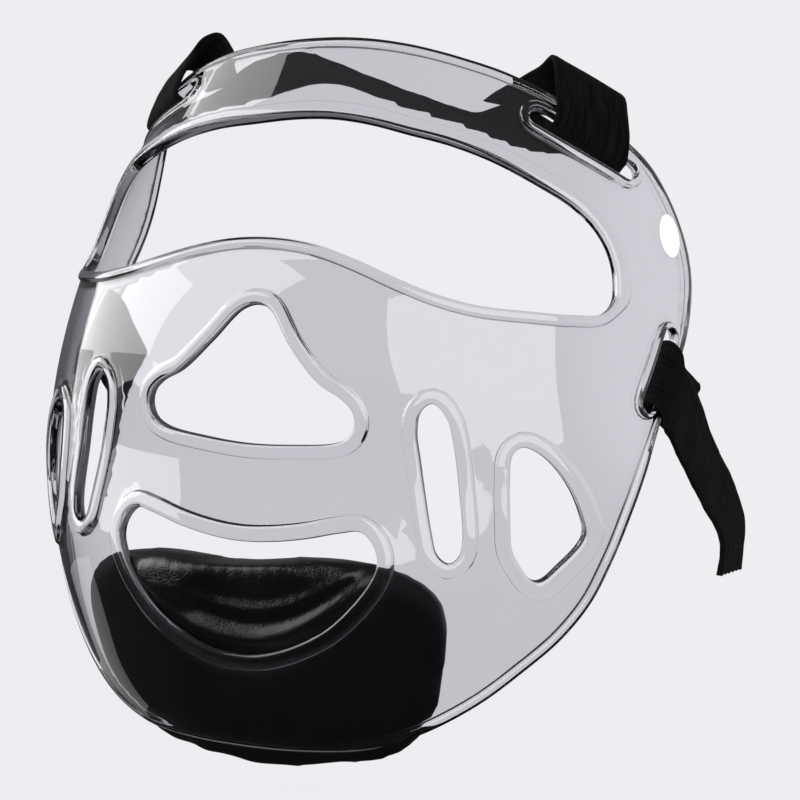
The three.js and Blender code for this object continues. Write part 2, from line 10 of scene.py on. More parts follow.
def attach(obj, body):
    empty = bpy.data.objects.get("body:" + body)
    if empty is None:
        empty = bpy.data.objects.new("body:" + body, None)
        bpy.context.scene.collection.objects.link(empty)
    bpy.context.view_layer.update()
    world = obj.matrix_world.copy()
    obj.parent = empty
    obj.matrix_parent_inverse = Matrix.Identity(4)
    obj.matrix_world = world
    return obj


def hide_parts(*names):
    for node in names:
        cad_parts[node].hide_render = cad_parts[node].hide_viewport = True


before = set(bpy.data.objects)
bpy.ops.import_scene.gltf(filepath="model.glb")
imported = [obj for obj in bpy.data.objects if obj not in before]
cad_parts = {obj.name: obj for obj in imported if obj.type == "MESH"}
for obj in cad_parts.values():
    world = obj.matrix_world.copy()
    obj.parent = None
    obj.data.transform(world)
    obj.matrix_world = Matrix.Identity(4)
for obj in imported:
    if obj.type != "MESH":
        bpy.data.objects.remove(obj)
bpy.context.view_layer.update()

# Shell: the clear guard, one moulding of polycarbonate two millimetres thick that wraps the face
# from temple to temple. It is moulded flat-edged, then every edge carries a rolled bead, round the
# outside and round each opening, proud of the wall in front and a little less behind it.
HEIGHT = 0.200
WIDTH = 0.205
DEPTH = 0.083
ROUNDNESS = 2.43
HALF_WALL = 0.0011
SECTIONS = np.array([
    # level, then as shares: height of HEIGHT, half width of WIDTH / 2, front and centre of DEPTH
    [-0.075, -0.015, 0.43, 0.730, 0.048],
    [-0.030, -0.010, 0.53, 0.825, 0.049],
    [0.000, 0.003, 0.615, 0.893, 0.050],
    [0.025, 0.0245, 0.680, 0.930, 0.052],
    [0.060, 0.060, 0.750, 0.955, 0.055],
    [0.125, 0.125, 0.839, 0.971, 0.058],
    [0.250, 0.250, 0.941, 1.004, 0.066],
    [0.400, 0.400, 1.000, 0.980, 0.071],
    [0.550, 0.550, 0.952, 0.999, 0.083],
    [0.700, 0.700, 0.888, 0.875, 0.110],
    [0.850, 0.850, 0.793, 0.618, 0.125],
    [1.000, 1.000, 0.655, 0.360, 0.129],
    [1.120, 1.120, 0.545, 0.150, 0.137],
])
EDGE_HALF = [
    # degrees round from the middle of the face, level
    (0, 0.996), (14, 0.994), (27, 0.988), (39, 0.977), (49, 0.962), (56.5, 0.942), (62.5, 0.920),
    (68.5, 0.895), (74, 0.869), (77.8, 0.842), (80.6, 0.810), (83, 0.770), (84.6, 0.725),
    (84.8, 0.685), (83.6, 0.644), (81.5, 0.606), (77.2, 0.550), (72.6, 0.486), (69.9, 0.427),
    (67.5, 0.368), (65.3, 0.305), (62.6, 0.240), (58.6, 0.189), (53.2, 0.144), (46.8, 0.098),
    (39.6, 0.061), (33.0, 0.037), (25, 0.018), (13, 0.008), (0, 0.005),
]
EYE_HALF = [
    (0, 0.885), (12.5, 0.881), (24, 0.871), (35, 0.859), (44, 0.840), (52, 0.812), (58.4, 0.783),
    (62.4, 0.752), (64.5, 0.718), (65, 0.684), (64.2, 0.655), (61.6, 0.639), (56.5, 0.637),
    (48.5, 0.640), (40, 0.645), (33, 0.657), (27, 0.672), (18.5, 0.694), (9.5, 0.710), (0, 0.715),
]
NOSE_HALF = [
    (0, 0.626), (3.2, 0.618), (8.3, 0.571), (14, 0.527), (18.6, 0.507), (20.7, 0.491),
    (21.2, 0.471), (20.2, 0.455), (17.6, 0.445), (9.5, 0.437), (0, 0.433),
]
MOUTH_HALF = [
    (0, 0.296), (6, 0.299), (13, 0.308), (19.6, 0.321), (23.4, 0.325), (25.6, 0.310),
    (26.6, 0.286), (25.6, 0.260), (22.8, 0.226), (18, 0.187), (11.5, 0.158), (5, 0.142), (0, 0.139),
]
CHEEK_OVAL = [
    (34.0, 0.510), (36.4, 0.491), (37.8, 0.455), (39.2, 0.390), (40.1, 0.325), (39.7, 0.302),
    (38.2, 0.291), (36.2, 0.303), (35.2, 0.330), (33.9, 0.380), (32.7, 0.430), (31.8, 0.470),
    (32.2, 0.498),
]
CHEEK_WINDOW = [
    (48.3, 0.456), (50.6, 0.451), (53.6, 0.431), (56.3, 0.402), (58.2, 0.370), (59.3, 0.340),
    (58.6, 0.324), (55.6, 0.294), (53.0, 0.273), (51.4, 0.274), (49.2, 0.295), (47.9, 0.315),
    (47.3, 0.360), (46.9, 0.410), (47.0, 0.444),
]
# each slot's middle and heading, in degrees and level
UPPER_SLOT = ((63.4, 0.868), (17.5, -0.070))
LOWER_SLOT = ((73.9, 0.561), (6.6, 0.095))
UPPER_SLOT_LENGTH = 0.034
LOWER_SLOT_LENGTH = 0.027
SLOT_WIDTH = 0.0056
BROW_LEVEL = 0.93
BEAD_STEP = 0.0013
PER_LEVEL = 120  # degrees that one level counts as where curves are drawn in both


def natural_spline(xs, ys):
    """Natural cubic spline through (xs, ys): the curvature at the knots solves the usual
    three-diagonal system, and between two knots y is the cubic that those curvatures give."""
    steps = np.diff(xs)
    slopes = np.diff(ys) / steps
    inner = np.arange(1, len(xs) - 1)
    system = np.eye(len(xs))
    system[inner, inner - 1] = steps[:-1]
    system[inner, inner] = 2 * (steps[:-1] + steps[1:])
    system[inner, inner + 1] = steps[1:]
    bend = np.linalg.solve(system, np.concatenate([[0], 6 * np.diff(slopes), [0]]))

    def at(x):
        i = np.clip(np.searchsorted(xs, x) - 1, 0, len(xs) - 2)
        b = (x - xs[i]) / steps[i]
        a = 1 - b
        curved = ((a**3 - a) * bend[i] + (b**3 - b) * bend[i + 1]) * steps[i]**2 / 6
        return a * ys[i] + b * ys[i + 1] + curved

    return at


height_at, half_at, front_at, centre_at = [
    natural_spline(SECTIONS[:, 0], SECTIONS[:, i]) for i in (1, 2, 3, 4)]


def unit(vectors):
    """Each row divided by its length."""
    return vectors / np.linalg.norm(vectors, axis=-1, keepdims=True)


def shell_middle(degrees, level):
    """Middle surface of the wall. At each level its plan is the superellipse
    (sin/half)^n + (cos/reach)^n = r^-n round a centre, straight-sided behind its widest line."""
    angle = np.radians(np.abs(degrees))
    sine, cosine = np.sin(angle), np.cos(angle)
    half = half_at(level) * WIDTH / 2
    centre = centre_at(level) * DEPTH
    reach = centre + front_at(level) * DEPTH
    total = (sine / half)**ROUNDNESS + (np.abs(cosine) / reach)**ROUNDNESS
    radius = np.where(cosine > 0, total**(-1 / ROUNDNESS), half / np.maximum(sine, 1e-6))
    return np.stack([np.sign(degrees) * radius * sine, centre - radius * cosine,
                     height_at(level) * HEIGHT], -1)


def shell_steps(degrees, level):
    """Metres moved per degree and per level by central differences, and their unit cross product,
    the outward normal."""
    across = shell_middle(degrees + 0.5, level) - shell_middle(degrees - 0.5, level)
    along = (shell_middle(degrees, level + 0.002) - shell_middle(degrees, level - 0.002)) / 0.004
    return across, along, unit(np.cross(across, along))


def shell_raw(degrees, level, out):
    """Point at a height out over the middle surface, measured from the chin."""
    degrees, level = np.broadcast_arrays(np.asarray(degrees, float), np.asarray(level, float))
    return shell_middle(degrees, level) + shell_steps(degrees, level)[2] * np.asarray(out)[..., None]


BROW = shell_raw(0.0, BROW_LEVEL, -HALF_WALL)


def on_shell(degrees, level, out):
    """The same point measured from the part's origin, the inside of the forehead band."""
    return shell_raw(degrees, level, out) - BROW


def spaced_loop(curve):
    """A closed curve of (degrees, level) rows resampled every BEAD_STEP of its length on the
    shell, and run anticlockwise as seen from in front."""
    closed = np.vstack([curve, curve[:1]])
    places = shell_middle(closed[:, 0], closed[:, 1])
    run = np.concatenate([[0], np.cumsum(np.linalg.norm(np.diff(places, axis=0), axis=1))])
    at = np.linspace(0, run[-1], round(run[-1] / BEAD_STEP), endpoint=False)
    loop = np.stack([np.interp(at, run, closed[:, 0]), np.interp(at, run, closed[:, 1])], -1)
    x, y = loop.T
    area = np.sum(x * np.roll(y, -1) - np.roll(x, -1) * y)
    return loop if area > 0 else loop[::-1]


def tangents(p0, p1, p2, p3, least=0.0):
    """Centripetal Catmull-Rom tangents at p1 and p2: two knots are spaced by the square root of
    their distance, and a tangent blends the slopes on both sides of its knot."""
    d0, d1, d2 = (np.sqrt(np.linalg.norm(b - a, axis=1))[:, None] + least
                  for a, b in ((p0, p1), (p1, p2), (p2, p3)))
    start = ((p1 - p0) / d0 - (p2 - p0) / (d0 + d1) + (p2 - p1) / d1) * d1
    stop = ((p2 - p1) / d1 - (p3 - p1) / (d1 + d2) + (p3 - p2) / d2) * d1
    return start, stop


def cubic(p1, p2, start, stop, t):
    """The cubic from p1 to p2 with these tangents, at t from 0 to 1."""
    return (p1 + start * t + (3 * (p2 - p1) - 2 * start - stop) * t**2
            + (2 * (p1 - p2) + start + stop) * t**3)


def smooth_loop(table):
    """Closed curve through the rows of a table, a cubic for each stretch."""
    knots = np.array(table) * (1, PER_LEVEL)
    p0, p1, p2, p3 = (np.roll(knots, shift, 0) for shift in (1, 0, -1, -2))
    stretches = (rows[:, None, :] for rows in (p1, p2, *tangents(p0, p1, p2, p3)))
    curve = cubic(*stretches, np.linspace(0, 1, 40, endpoint=False)[None, :, None])
    return spaced_loop(curve.reshape(-1, 2) / (1, PER_LEVEL))


def both_halves(half):
    """A +X half from the top down, closed by its mirror image."""
    return list(half) + [(-degrees, level) for degrees, level in half[-2:0:-1]]


def both_sides(loop):
    """The loop and its mirror image on the other side of the face, again anticlockwise."""
    return loop, (loop * (-1, 1))[::-1]


def slot_loop(slot, length):
    """A straight slot with half-round ends: two half circles, shifted apart along its heading."""
    (degrees, level), (turn, climb) = slot
    across, along, _ = shell_steps(degrees, level)
    metric = np.array([np.linalg.norm(across), np.linalg.norm(along)])
    ahead = unit(np.array([turn, climb]) * metric)
    aside = np.array([-ahead[1], ahead[0]])
    arc = np.linspace(-np.pi / 2, np.pi / 2, 25)
    straight = (length - SLOT_WIDTH) / 2
    half = ((straight + np.cos(arc) * SLOT_WIDTH / 2)[:, None] * ahead
            + (np.sin(arc) * SLOT_WIDTH / 2)[:, None] * aside)
    return spaced_loop((degrees, level) + np.vstack([half, -half]) / metric)


def grown(loop, distance):
    """The loop moved outwards along the shell: each point goes square to its neighbours' chord."""
    across, along, _ = shell_steps(loop[:, 0], loop[:, 1])
    metric = np.stack([np.linalg.norm(across, axis=1), np.linalg.norm(along, axis=1)], -1)
    chord = unit((np.roll(loop, -1, 0) - np.roll(loop, 1, 0)) * metric)
    return loop + np.stack([chord[:, 1], -chord[:, 0]], -1) * np.reshape(distance, (-1, 1)) / metric


def bead_profile(width, proud, behind):
    """Section of a rolled bead, from the wall's front over the crest and the nose to the wall's
    back, as (distance from the nose, height over the middle surface): a superellipse of
    exponent 3.6, flat on top with tight shoulders, joined to the wall by a small fillet."""
    fillet, rise, lip = 0.0002, 0.00003, 0.0001
    half = (width - 2 * fillet) / 2
    middle = (proud - behind) / 2
    tall = (proud + behind) / 2
    front = math.asin(min(0.95, (HALF_WALL + lip - middle) / tall))
    back = math.asin(min(0.95, (HALF_WALL + lip + middle) / tall))
    turn = np.linspace(front, 2 * np.pi - back, 21)
    power = 2 / 3.6
    aside = half + half * np.sign(np.cos(turn)) * np.abs(np.cos(turn))**power
    out = middle + tall * np.sign(np.sin(turn)) * np.abs(np.sin(turn))**power
    foot = np.array([(width, HALF_WALL), (width - fillet, HALF_WALL + rise)])
    return np.vstack([foot, np.stack([aside, out], -1), (foot * (1, -1))[::-1]])


def inside(points, loop):
    """Which points lie inside a closed loop: an odd number of its sides cross the line to the
    right of the point."""
    x, y = points[:, 0][:, None], points[:, 1][:, None]
    ax, ay = loop[:, 0], loop[:, 1]
    bx, by = np.roll(ax, -1), np.roll(ay, -1)
    crosses = (ay > y) != (by > y)
    slope = np.where(by == ay, 1e-12, by - ay)
    return np.sum(crosses & (x < (bx - ax) * (y - ay) / slope + ax), axis=1) % 2 == 1


def inside_wall(points, borders):
    """Which points lie inside the outer border, the first, and outside every other one."""
    keep = inside(points, borders[0])
    for border in borders[1:]:
        keep &= ~inside(points, border)
    return keep


def leaning(loop, way, amount):
    """Share of a bead's width that changes by an amount on the side of the loop that faces a
    direction: the cosine to it of each point's way outwards, eased from 0.2 to 0.8."""
    chord = np.roll(loop, -1, 0) - np.roll(loop, 1, 0)
    outwards = unit(np.stack([chord[:, 1] * PER_LEVEL, -chord[:, 0]], -1))
    ease = np.clip((outwards @ unit(np.array(way, float)) - 0.2) / 0.6, 0, 1)
    return 1 + amount * ease * ease * (3 - 2 * ease)


def distances(spots, others):
    """Distance from each spot to the nearest of the others."""
    tree = KDTree(len(others))
    for i, other in enumerate(others):
        tree.insert(other, i)
    tree.balance()
    return np.array([tree.find(spot)[2] for spot in spots])


def narrowed(places, others, width):
    """Share of a bead's width that has room at each point: 0.47 of the way to the nearest other
    bead, with its lows spread and smoothed along the loop."""
    share = np.minimum(1, 0.47 * distances(places, others) / width)
    share = np.min([np.roll(share, k) for k in range(-4, 5)], axis=0)
    for _ in range(8):
        share = (np.roll(share, 1) + share + np.roll(share, -1)) / 3
    return share


def ring_faces(rows, first=0):
    """Numbers of the points in rows of closed rings, and the quads from each ring to the next."""
    index = first + np.arange(rows.shape[0] * rows.shape[1]).reshape(rows.shape[:2])
    after = np.roll(index, -1, 1)
    quads = np.stack([index[:-1], after[:-1], after[1:], index[1:]], -1)
    return index, quads.reshape(-1, 4).tolist()


def make_mesh(name, places, faces):
    """A smooth-shaded mesh object from an array of places and a list of faces, at the origin."""
    mesh = bpy.data.meshes.new(name)
    mesh.from_pydata(places.tolist(), [], faces)
    mesh.shade_smooth()
    mesh.validate()
    piece = bpy.data.objects.new(name, mesh)
    bpy.context.collection.objects.link(piece)
    return piece


def outward(piece):
    """Merges doubles and turns every face of a closed piece outwards."""
    work = bmesh.new()
    work.from_mesh(piece.data)
    bmesh.ops.remove_doubles(work, verts=work.verts, dist=1e-6)
    bmesh.ops.recalc_face_normals(work, faces=work.faces)
    work.to_mesh(piece.data)
    work.free()


def bead_rows(loop, way, share, width, proud, behind, height):
    """Rows of points of a bead along its loop, its width taken by a share at each point and what
    it stands proud of the wall by a height."""
    rows = []
    for distance, out in bead_profile(width, proud, behind):
        moved = grown(loop, way * distance * share)
        wall = math.copysign(min(HALF_WALL, abs(out)), out)
        rows.append(on_shell(moved[:, 0], moved[:, 1], wall + (out - wall) * height))
    return np.array(rows)


def wall_triangles(borders):
    """Triangles of the wall between borders in degrees and level, and the points inside it: a
    triangular grid, less what lies close to a border, joined with the borders by Delaunay. It is
    worked out on a flat sheet of rough millimetres."""
    flat = np.array([1.55, 200.0])
    spacing, row_share, clear = 2.4, 0.866, 1.25
    borders = [border * flat for border in borders]
    low, high = borders[0].min(0), borders[0].max(0)
    xs = np.arange(low[0], high[0], spacing)
    ys = np.arange(low[1], high[1], spacing * row_share)
    grid = np.stack(np.meshgrid(xs, ys), -1)
    grid[1::2, :, 0] += spacing / 2
    grid = grid.reshape(-1, 2)
    grid = grid[inside_wall(grid, borders)]
    rim = np.vstack(borders)
    grid = grid[distances(*(np.pad(rows, ((0, 0), (0, 1))) for rows in (grid, rim))) > clear]
    points = np.vstack([rim, grid])
    starts = np.cumsum([0] + [len(border) for border in borders])
    sides = [(int(a + i), int(a + (i + 1) % (b - a)))
             for a, b in zip(starts[:-1], starts[1:]) for i in range(b - a)]
    _, _, triangles, origins, _, _ = delaunay_2d_cdt(
        [Vector(point) for point in points.tolist()], sides, [], 0, 1e-7, True)
    source = np.array([origin[0] for origin in origins])
    triangles = source[np.array([list(face) for face in triangles])]
    return triangles[inside_wall(points[triangles].mean(1), borders)], grid / flat


def build_shell():
    """Bead strips round every loop, and between their outer rows a wall on both faces."""
    # loops, way that the wall lies, bead width, proud, behind
    kinds = [
        ([smooth_loop(both_halves(EDGE_HALF))], -1, 0.0032, 0.0017, 0.0015),
        ([smooth_loop(both_halves(EYE_HALF))], 1, 0.0054, 0.0021, 0.0017),
        ([smooth_loop(both_halves(NOSE_HALF))], 1, 0.0044, 0.0020, 0.0016),
        ([smooth_loop(both_halves(MOUTH_HALF))], 1, 0.0050, 0.0021, 0.0017),
        (both_sides(smooth_loop(CHEEK_OVAL)), 1, 0.0046, 0.0021, 0.0017),
        (both_sides(smooth_loop(CHEEK_WINDOW)), 1, 0.0046, 0.0021, 0.0017),
        (both_sides(slot_loop(UPPER_SLOT, UPPER_SLOT_LENGTH)), 1, 0.0032, 0.0018, 0.0015),
        (both_sides(slot_loop(LOWER_SLOT, LOWER_SLOT_LENGTH)), 1, 0.0032, 0.0018, 0.0015),
    ]
    beads = [(loop, *sizes) for loops, *sizes in kinds for loop in loops]
    # the eye window's lower edge is slimmer, and each cheek window has one thick corner
    leans = {1: ((0, -1), -0.40), 6: ((1, -0.8), 0.45), 7: ((-1, -0.8), 0.45)}
    middles = [shell_middle(bead[0][:, 0], bead[0][:, 1]) for bead in beads]
    places, faces, borders, fronts, backs = [], [], [], [], []
    count = 0
    for number, (loop, way, width, proud, behind) in enumerate(beads):
        share = narrowed(middles[number], np.vstack(middles[:number] + middles[number + 1:]), width)
        height = np.ones(len(loop))
        if number in leans:
            share = leaning(loop, *leans[number]) * share
        if number == 0:
            # the outer bead fades into the wall under the chin, where the pad hangs below it
            height = 1 - 0.95 * np.exp(-(loop[:, 0] / 32)**6) * (loop[:, 1] < 0.3)
        rows = bead_rows(loop, way, share, width, proud, behind, height)
        here, quads = ring_faces(rows, count)
        places.append(rows.reshape(-1, 3))
        faces += [[a, d, c, b] for a, b, c, d in quads]
        borders.append(grown(loop, way * width * share))
        fronts.append(here[0])
        backs.append(here[-1])
        count += here.size
    triangles, spots = wall_triangles(borders)
    for rims, out, order in ((fronts, HALF_WALL, (0, 1, 2)), (backs, -HALF_WALL, (2, 1, 0))):
        places.append(on_shell(spots[:, 0], spots[:, 1], np.full(len(spots), out)))
        index = np.concatenate(rims + [count + np.arange(len(spots))])
        faces += index[triangles][:, order].tolist()
        count += len(spots)
    piece = make_mesh("guard_shell", np.vstack(places), faces)
    outward(piece)
    return piece


class Nodes:
    """Writes a node tree: a node's values and links go to its inputs by name, or by number where
    two inputs share a name."""

    def __init__(self, tree):
        self.tree = tree

    def add(self, kind, settings=None, **inputs):
        node = self.tree.nodes.new(kind)
        for name, value in (settings or {}).items():
            setattr(node, name, value)
        for name, value in inputs.items():
            self.feed(node.inputs[int(name[1:]) if name[0] == "_" else name.replace("_", " ")], value)
        return node

    def feed(self, socket, value):
        if isinstance(value, bpy.types.NodeSocket):
            self.tree.links.new(value, socket)
        else:
            socket.default_value = value

    def noise(self, place, scale, detail, roughness=0.5):
        return self.add("ShaderNodeTexNoise", Vector=place, Scale=scale, Detail=detail,
                        Roughness=roughness).outputs[0]

    def ranged(self, value, low, high, to_low=0.0, to_high=1.0):
        return self.add("ShaderNodeMapRange", _0=value, _1=low, _2=high, _3=to_low, _4=to_high).outputs[0]

    def scaled(self, value, by, plus):
        return self.add("ShaderNodeMath", {"operation": "MULTIPLY_ADD"}, _0=value, _1=by, _2=plus).outputs[0]

    def blend(self, share, first, second):
        return self.add("ShaderNodeMix", {"data_type": "RGBA"}, _0=share, _6=first, _7=second).outputs[2]


def new_material(name):
    """A material with an empty tree, its Nodes writer and its place on the object."""
    material = bpy.data.materials.new(name)
    material.use_nodes = True
    material.node_tree.nodes.clear()
    nodes = Nodes(material.node_tree)
    return material, nodes, nodes.add("ShaderNodeTexCoord").outputs["Object"]


def wear_group():
    """Fine handling marks for hard smooth surfaces: thin hairlines from two stretched noises and
    soft smears from a slow one. Puts out a mask of each, from 0 to 1."""
    tree = bpy.data.node_groups.new("handling_marks", "ShaderNodeTree")
    for name, way, kind in (("Vector", "INPUT", "Vector"), ("Scale", "INPUT", "Float"),
                            ("Hairlines", "OUTPUT", "Float"), ("Smears", "OUTPUT", "Float")):
        tree.interface.new_socket(name, in_out=way, socket_type="NodeSocket" + kind)
    nodes = Nodes(tree)
    place, scale = nodes.add("NodeGroupInput").outputs[:2]
    lines = []
    for turn, stretch in (((0.3, 0.8, 0.4), (1, 26, 9)), ((1.1, 0.2, 2.0), (30, 1, 12))):
        spun = nodes.add("ShaderNodeMapping", Vector=place, Rotation=turn, Scale=stretch).outputs[0]
        lines.append(nodes.ranged(nodes.noise(spun, scale, 2.0, 0.6), 0.66, 0.72))
    hairlines = nodes.add("ShaderNodeMath", {"operation": "MAXIMUM"}, _0=lines[0], _1=lines[1])
    smears = nodes.ranged(nodes.noise(place, scale, 3.0, 0.55), 0.42, 0.7)
    nodes.add("NodeGroupOutput", _0=hairlines.outputs[0], _1=smears)
    return tree


def clear_plastic(marks):
    """Clear polycarbonate: glass-like with a faint cool tint, a slow moulding ripple in its
    reflections, hairlines and smears in its roughness. Rays to the lamps pass it."""
    material, nodes, place = new_material("clear_polycarbonate")
    hairlines, smears = nodes.add("ShaderNodeGroup", {"node_tree": marks}, Vector=place, Scale=38.0).outputs
    rough = nodes.scaled(hairlines, 0.035, nodes.scaled(smears, 0.012, 0.022))
    ripple = nodes.add("ShaderNodeBump", Strength=0.10, Distance=0.0012,
                       Height=nodes.noise(place, 26.0, 1.0, 0.4))
    shader = nodes.add("ShaderNodeBsdfPrincipled", Base_Color=(0.70, 0.70, 0.735, 1), Roughness=rough,
                       Normal=ripple.outputs[0], IOR=1.56, Transmission_Weight=1.0)
    passing = nodes.add("ShaderNodeBsdfTransparent", Color=(0.86, 0.87, 0.89, 1))
    ray = nodes.add("ShaderNodeLightPath")
    mix = nodes.add("ShaderNodeMixShader", _0=ray.outputs["Is Shadow Ray"],
                    _1=shader.outputs[0], _2=passing.outputs[0])
    nodes.add("ShaderNodeOutputMaterial", Surface=mix.outputs[0])
    return material


handling_marks = wear_group()
shell = build_shell()
shell.data.materials.append(clear_plastic(handling_marks))
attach(shell, "root")
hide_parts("shell")

# Chin pad: a foam block in black satin leathercloth, set inside the chin and sagging a little
# below the guard's edge. Its face is pressed smooth by the guard and bulges in two rolls where the
# mouth opening leaves it free. The stuffed form comes from a cloth simulation.
PAD_ROUNDNESS = 3.6
PAD_THICKNESS = 0.014
PAD_TOP, PAD_BOTTOM = 0.275, -0.030  # levels
PAD_SPAN = 42.5  # degrees on each side of its middle
PAD_ASIDE = 2.5  # degrees that the whole pad lies towards -X
PAD_SLANT = 3.2  # degrees more for its lower corner there
PAD_DIP = 0.012  # levels
PAD_SAG = 0.0066
PAD_CLEARANCE = 0.0015
PAD_SECTION = np.array([
    # way from the middle of the face to the middle of the back, then as shares: distance from the
    # middle of the outline, depth of PAD_THICKNESS, sag of PAD_SAG
    (0, 0, 0, 0), (0.16, 0.35, 0, 0), (0.30, 0.65, 0, 0), (0.40, 0.90, 0.02, 0.3),
    (0.455, 0.985, 0.10, 0.85), (0.50, 1, 0.27, 1), (0.545, 0.985, 0.46, 0.85),
    (0.60, 0.90, 0.72, 0.3), (0.70, 0.65, 0.90, 0), (0.84, 0.35, 0.98, 0), (1, 0, 1, 0),
])
PAD_ROLLS = [
    # level in the middle, its rise per square degree towards +X and -X, half height, relief
    (0.201, 0.000155, 0.00006, 0.0085, 0.0010),
    (0.158, 0.000185, 0.00010, 0.0105, 0.0013),
]


def pad_surface(turn, share, depth, sag):
    """Point of the pad: a superellipse outline in degrees and level round its middle, with a
    shallow dip on top, carried on the guard's inside, then moved inwards by depth and down by sag."""
    cosine, sine = np.cos(turn), np.sin(turn)
    reach = (np.abs(cosine)**PAD_ROUNDNESS + np.abs(sine)**PAD_ROUNDNESS)**(-1 / PAD_ROUNDNESS)
    aside = PAD_SPAN * reach * cosine * share
    dip = np.where(sine > 0, PAD_DIP * np.exp(-(aside / 12)**2) * share**4, 0)
    middle, tall = (PAD_TOP + PAD_BOTTOM) / 2, (PAD_TOP - PAD_BOTTOM) / 2
    level = middle + tall * reach * sine * share - dip + 0.0004 * aside
    degrees = aside - PAD_ASIDE - PAD_SLANT * np.maximum(0, -sine) * np.maximum(0, -cosine) * share**2
    inward = np.radians(degrees)
    way = np.stack([-np.sin(inward), np.cos(inward), np.full_like(inward, 0.2)], -1)
    drop = sag * PAD_SAG * np.maximum(0, -sine)**2
    base = on_shell(degrees, level, np.full_like(degrees, -HALF_WALL - PAD_CLEARANCE))
    return base + way * depth[..., None] - drop[..., None] * (0, 0, 1)


def build_pad(rings, around):
    """Closed form: rings run from the middle of its face over the rim to the middle of its back."""
    s = np.linspace(0, 1, rings)
    share, depth, sag = (np.interp(s, PAD_SECTION[:, 0], column) for column in PAD_SECTION[:, 1:].T)
    depth = depth * PAD_THICKNESS
    turn = np.linspace(0, 2 * np.pi, around, endpoint=False)
    t, k = np.meshgrid(turn, np.arange(1, rings - 1))
    rows = pad_surface(t, share[k], depth[k], sag[k])
    ends = pad_surface(np.zeros(2), share[[0, -1]], depth[[0, -1]], sag[[0, -1]])
    index, faces = ring_faces(rows)
    after = np.roll(index, -1, 1)
    faces += [[index.size, b, a] for a, b in zip(index[0].tolist(), after[0].tolist())]
    faces += [[index.size + 1, a, b] for a, b in zip(index[-1].tolist(), after[-1].tolist())]
    return np.vstack([rows.reshape(-1, 3), ends]), faces


def shell_place(points):
    """Degrees, level and height over the middle surface of points near it: the angle and height
    of the point less its height along the normal, repeated until it settles."""
    chin = points + BROW
    out = np.zeros(len(chin))
    normal = np.zeros_like(chin)
    levels = np.linspace(-0.07, 1.1, 400)
    heights = height_at(levels) * HEIGHT
    for _ in range(12):
        foot = chin - normal * out[:, None]
        level = np.interp(foot[:, 2], heights, levels)
        degrees = np.degrees(np.arctan2(foot[:, 0], centre_at(level) * DEPTH - foot[:, 1]))
        base = shell_middle(degrees, level)
        normal = shell_steps(degrees, level)[2]
        out = np.sum((chin - base) * normal, axis=1)
    return degrees, level, out, normal


def vertex_rows(mesh, field="co"):
    """The mesh's vertices, or their normals, as rows of an array."""
    values = np.empty(len(mesh.vertices) * 3)
    mesh.vertices.foreach_get(field, values)
    return values.reshape(-1, 3)


def stuffed(piece, voxel, swell, cap):
    """Cloth under pressure: the piece is remeshed in voxels and blown up by the solver for twenty
    frames, and each point then moves out along its normal, never in and by no more than the cap."""
    bpy.context.view_layer.objects.active = piece
    remesh = piece.modifiers.new("remesh", "REMESH")
    remesh.mode = "VOXEL"
    remesh.voxel_size = voxel
    bpy.ops.object.modifier_apply(modifier=remesh.name)
    rest = vertex_rows(piece.data)
    cloth = piece.modifiers.new("cloth", "CLOTH")
    cloth.settings.use_pressure = True
    cloth.settings.uniform_pressure_force = swell
    cloth.settings.effector_weights.gravity = 0
    cloth.settings.quality = 6
    cloth.settings.mass = 0.3
    cloth.settings.tension_stiffness = cloth.settings.compression_stiffness = 15
    cloth.settings.bending_stiffness = 0.6
    scene = bpy.context.scene
    for number in range(1, 21):
        scene.frame_set(number)
    moved = vertex_rows(piece.evaluated_get(bpy.context.evaluated_depsgraph_get()).data)
    piece.modifiers.remove(cloth)
    scene.frame_set(1)
    normals = vertex_rows(piece.data, "normal")
    change = np.sum((moved - rest) * normals, axis=1)
    return rest + normals * np.clip(change, 0, cap)[:, None]


def fade(x, width):
    """1 well below zero and 0 well above it: 1 / (1 + exp(x / width))."""
    return 1 / (1 + np.exp(x / width))


def pad_folds(points):
    """Relief of the pad's front along the guard's normal: two rolls in a smile across the mouth
    opening, each the bell exp(-(x / half height)^2) across its line, a valley between them, a brow
    over them that is fuller towards -X, lumps along the foot and small pulls at the top."""
    degrees, level, out, normal = shell_place(points)
    rising, falling = np.maximum(0, degrees - 1)**2, np.maximum(0, 1 - degrees)**2
    rolls, lines = 0, 0
    for start, right_rise, left_rise, half, relief in PAD_ROLLS:
        line = level - start - right_rise * rising - left_rise * falling
        rolls = rolls + np.exp(-(line / half)**2) * relief
        lines = lines + line
    valley = np.exp(-(lines / 0.013)**2) * -0.0006
    left = fade(degrees + 9, 2.5)
    start = 0.212 + 0.00010 * np.maximum(0, degrees - 2)**2 - 0.035 * left
    brow = np.clip((level - start) / 0.05, 0, 1) * (0.0022 + 0.0012 * left)
    foot = np.clip((0.05 - level) / 0.05, 0, 1)
    lumps = 0.0004 * (np.sin(degrees * 0.19 + 1.0) + 0.5 * np.sin(degrees * 0.43 + 2.4)) * foot
    pulls = 0.00010 * np.sin(degrees * 2.1 + 14 * level) * np.clip((level - 0.19) / 0.06, 0, 1)
    fore = np.clip((out + 0.0075) / 0.004, 0, 1)
    span, wide = fade(np.abs(degrees - 5) - 18, 2.4), fade(np.abs(degrees - 1) - 27, 2)
    lift = ((rolls + valley) * span + brow * wide) * fore + lumps + pulls
    return kept_behind(points + normal * lift[:, None])


